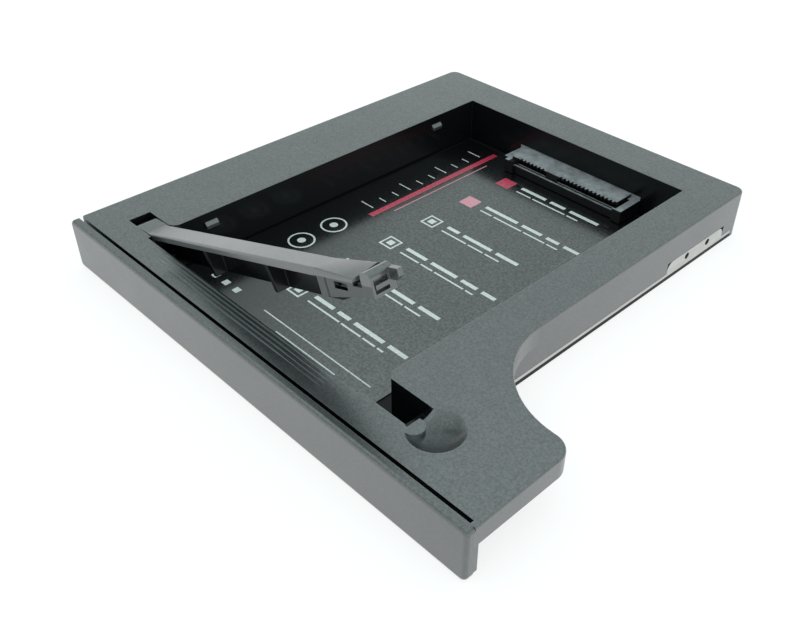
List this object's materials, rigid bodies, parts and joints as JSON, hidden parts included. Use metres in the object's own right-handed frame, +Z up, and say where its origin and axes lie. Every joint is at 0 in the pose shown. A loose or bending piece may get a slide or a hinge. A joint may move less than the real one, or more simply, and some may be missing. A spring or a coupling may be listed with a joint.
{
  "type": "laptop drive caddy",
  "caption": "Grey moulded caddy that carries a 2.5-inch drive in a laptop's slim optical bay, with a printed steel floor, a clipped bezel and a hinged lock bar raised at the front.",
  "frame": {"origin": "middle of the caddy's outline on its underside, the plane it rests on", "axes": "+X towards the wing, +Y from the bezel to the rear, +Z up out of the bay"},
  "size_m": [0.128, 0.129, 0.0408],
  "materials": {
    "frame_abs": "spark-eroded moulded ABS, smooth inside the bay",
    "bezel_abs": "spark-eroded moulded ABS",
    "bar_abs": "spark-eroded moulded ABS",
    "plate_steel": "zinc-plated sheet, dark coated underneath",
    "label_film": "printed gloss film, white and crimson on black",
    "connector_nylon": "moulded glass-filled nylon",
    "contact_gilt": "gold flash on stamped copper alloy",
    "board_laminate": "green solder mask on glass laminate",
    "screw_steel": "nickel-plated machine screw"
  },
  "bodies": {
    "tray": {"frame": "frame_abs", "bezel": "bezel_abs", "bottom_plate": "plate_steel", "floor_label": "label_film", "drive_receptacle": "connector_nylon", "receptacle_contacts": "contact_gilt", "circuit_board": "board_laminate", "host_plug": "connector_nylon", "host_contacts": "contact_gilt", "base_screws": "screw_steel", "board_screws": "screw_steel"},
    "bar": {"lock_bar": "bar_abs"}
  },
  "joints": [
    {"name": "bar_hinge", "type": "hinge", "parent": "tray", "child": "bar", "pos_m": [-0.0506, -0.05175, 0.0096], "axis": [0, -1, 0], "range_deg": [-19, 71]}
  ]
}
